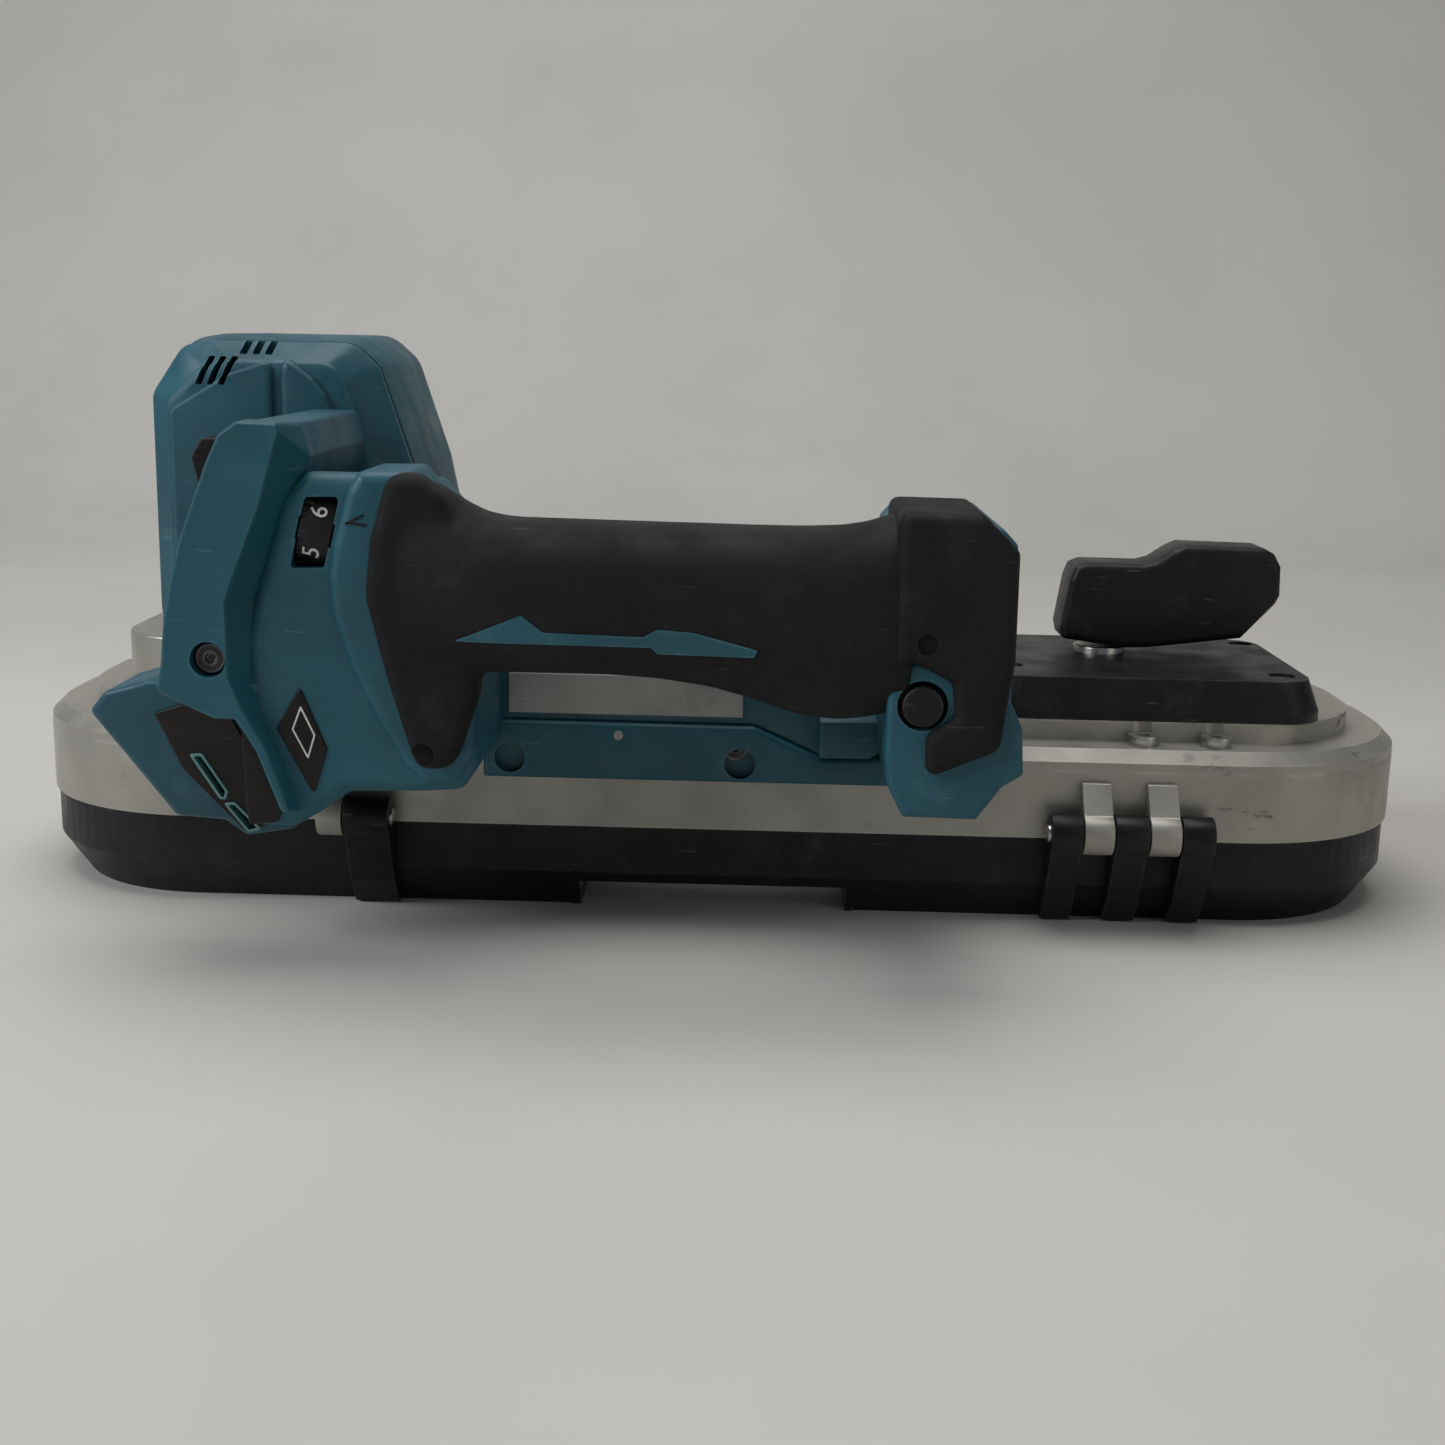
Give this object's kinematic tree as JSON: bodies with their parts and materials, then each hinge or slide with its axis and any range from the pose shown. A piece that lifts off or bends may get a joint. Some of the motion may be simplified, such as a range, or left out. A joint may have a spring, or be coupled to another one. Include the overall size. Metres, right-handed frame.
{
  "type": "cordless portable band saw",
  "caption": "Compact cordless portable band saw lying on its hinged wheel cover, with C-shaped frame, two blade wheels, open throat, loop grip, battery bay and tension lever.",
  "frame": {"origin": "centre of the bounding box seen from above, on the plane that the wheel cover rests on", "axes": "+X towards the tension end, +Y towards the throat's mouth and away from the main grip, +Z away from the wheel cover"},
  "size_m": [0.416, 0.206, 0.163],
  "materials": {
    "frame_metal": "cast and painted silver, scuffed",
    "black_plastic": "moulded, fine grain",
    "teal_plastic": "moulded, fine grain, worn",
    "grip_rubber": "soft moulded rubber",
    "tyre_rubber": "smooth",
    "steel": "turned",
    "blade_steel": "rolled strip",
    "black_steel": "painted",
    "copper_winding": "wound",
    "brass": "plated",
    "plate_grey": "satin film",
    "clear_lens": "clear",
    "controller_black": "potted",
    "dark_panel": "satin"
  },
  "bodies": {
    "chassis": {"main_frame": "frame_metal", "hinge_lugs": "frame_metal", "hinge_pins": "steel", "gear_case": "frame_metal", "motor_housing_near": "teal_plastic", "motor_housing_far": "teal_plastic", "housing_upper": "teal_plastic", "housing_main": "teal_plastic", "housing_base": "teal_plastic", "rear_wing": "teal_plastic", "battery_rails": "black_plastic", "terminal_block": "black_plastic", "battery_terminals": "brass", "grip_rubber": "grip_rubber", "front_pad": "grip_rubber", "grip_inlay": "teal_plastic", "name_plate": "plate_grey", "vent_panel": "dark_panel", "lamp_panel": "dark_panel", "work_lamp": "clear_lens", "tension_cover": "black_plastic", "slide_rails": "steel", "spindle_bearings": "steel", "intermediate_bearings": "steel", "motor_stator": "copper_winding", "motor_bearings": "steel", "controller": "controller_black", "trigger_switch": "black_plastic", "blade": "blade_steel", "guide_blocks": "steel", "stopper_plate": "black_steel", "housing_screws": "steel", "frame_screws": "steel", "tension_cover_screws": "steel"},
    "wheel_cover": {"wheel_cover": "black_plastic", "hinge_arms": "black_plastic", "cover_clips": "steel"},
    "drive_wheel": {"drive_wheel": "frame_metal", "drive_tyre": "tyre_rubber", "drive_spindle": "steel", "output_gear": "steel"},
    "intermediate_gear": {"intermediate_gear": "steel"},
    "motor_rotor": {"motor_rotor": "steel", "cooling_fan": "black_plastic"},
    "tension_slide": {"slide_block": "steel", "idler_axle": "steel"},
    "idler_wheel": {"idler_wheel": "frame_metal", "idler_tyre": "tyre_rubber", "idler_bearings": "steel"},
    "tension_lever": {"tension_lever": "black_plastic", "cam_shaft": "steel"},
    "speed_dial": {"speed_dial": "black_plastic"},
    "trigger": {"trigger": "black_plastic"},
    "lock_off_button": {"lock_off_button": "black_plastic"},
    "guide_roller_1": {"guide_roller_1": "steel"},
    "guide_roller_2": {"guide_roller_2": "steel"},
    "guide_roller_3": {"guide_roller_3": "steel"},
    "guide_roller_4": {"guide_roller_4": "steel"},
    "guide_roller_5": {"guide_roller_5": "steel"},
    "guide_roller_6": {"guide_roller_6": "steel"}
  },
  "joints": [
    {"name": "cover_hinge", "type": "hinge", "parent": "chassis", "child": "wheel_cover", "pos_m": [0, -0.0304, 0.0292], "axis": [-1, 0, 0], "range_deg": [0, 90]},
    {"name": "drive_wheel_spin", "type": "hinge", "parent": "chassis", "child": "drive_wheel", "pos_m": [-0.131, 0.038, 0.019], "axis": [0, 0, 1], "continuous": true},
    {"name": "intermediate_gear_spin", "type": "hinge", "parent": "chassis", "child": "intermediate_gear", "pos_m": [-0.10518, 0.02176, 0.055], "axis": [0, 0, 1], "continuous": true},
    {"name": "motor_spin", "type": "hinge", "parent": "chassis", "child": "motor_rotor", "pos_m": [-0.124, 0.02, 0.1], "axis": [0, 0, 1], "continuous": true},
    {"name": "tension_lever_turn", "type": "hinge", "parent": "chassis", "child": "tension_lever", "pos_m": [0.1197, 0.043, 0.075], "axis": [0, 0, 1], "range_deg": [0, 180]},
    {"name": "tension_slide_travel", "type": "slide", "parent": "chassis", "child": "tension_slide", "axis": [1, 0, 0], "range_m": [-0.0052, 0]},
    {"name": "idler_wheel_spin", "type": "hinge", "parent": "tension_slide", "child": "idler_wheel", "pos_m": [0.131, 0.038, 0.019], "axis": [0, 0, 1], "continuous": true},
    {"name": "speed_dial_turn", "type": "hinge", "parent": "chassis", "child": "speed_dial", "pos_m": [-0.0987, -0.0732, 0.1164], "axis": [0.9744, 0, -0.225], "range_deg": [0, 250]},
    {"name": "trigger_pull", "type": "slide", "parent": "chassis", "child": "trigger", "axis": [0, -1, 0], "range_m": [0, 0.005], "stiffness_N_per_m": 400, "springref_m": -0.003},
    {"name": "lock_off_press", "type": "slide", "parent": "chassis", "child": "lock_off_button", "axis": [0, 1, 0], "range_m": [0, 0.003], "stiffness_N_per_m": 300, "springref_m": -0.002},
    {"name": "guide_roller_1_spin", "type": "hinge", "parent": "chassis", "child": "guide_roller_1", "pos_m": [-0.056, 0.0883, 0.0134], "axis": [0, 1, 0], "continuous": true},
    {"name": "guide_roller_2_spin", "type": "hinge", "parent": "chassis", "child": "guide_roller_2", "pos_m": [-0.056, 0.0883, 0.0246], "axis": [0, 1, 0], "continuous": true},
    {"name": "guide_roller_3_spin", "type": "hinge", "parent": "chassis", "child": "guide_roller_3", "pos_m": [-0.047, 0.0767, 0.019], "axis": [0, 0, 1], "continuous": true},
    {"name": "guide_roller_4_spin", "type": "hinge", "parent": "chassis", "child": "guide_roller_4", "pos_m": [0.056, 0.0883, 0.0134], "axis": [0, 1, 0], "continuous": true},
    {"name": "guide_roller_5_spin", "type": "hinge", "parent": "chassis", "child": "guide_roller_5", "pos_m": [0.056, 0.0883, 0.0246], "axis": [0, 1, 0], "continuous": true},
    {"name": "guide_roller_6_spin", "type": "hinge", "parent": "chassis", "child": "guide_roller_6", "pos_m": [0.047, 0.0767, 0.019], "axis": [0, 0, 1], "continuous": true}
  ],
  "couplings": [
    {"joint": "intermediate_gear_spin", "follows": "drive_wheel_spin", "ratio": -4.5455},
    {"joint": "motor_spin", "follows": "drive_wheel_spin", "ratio": 20},
    {"joint": "idler_wheel_spin", "follows": "drive_wheel_spin", "ratio": 1},
    {"joint": "tension_slide_travel", "follows": "tension_lever_turn", "m_per_rad": -0.0016552}
  ]
}
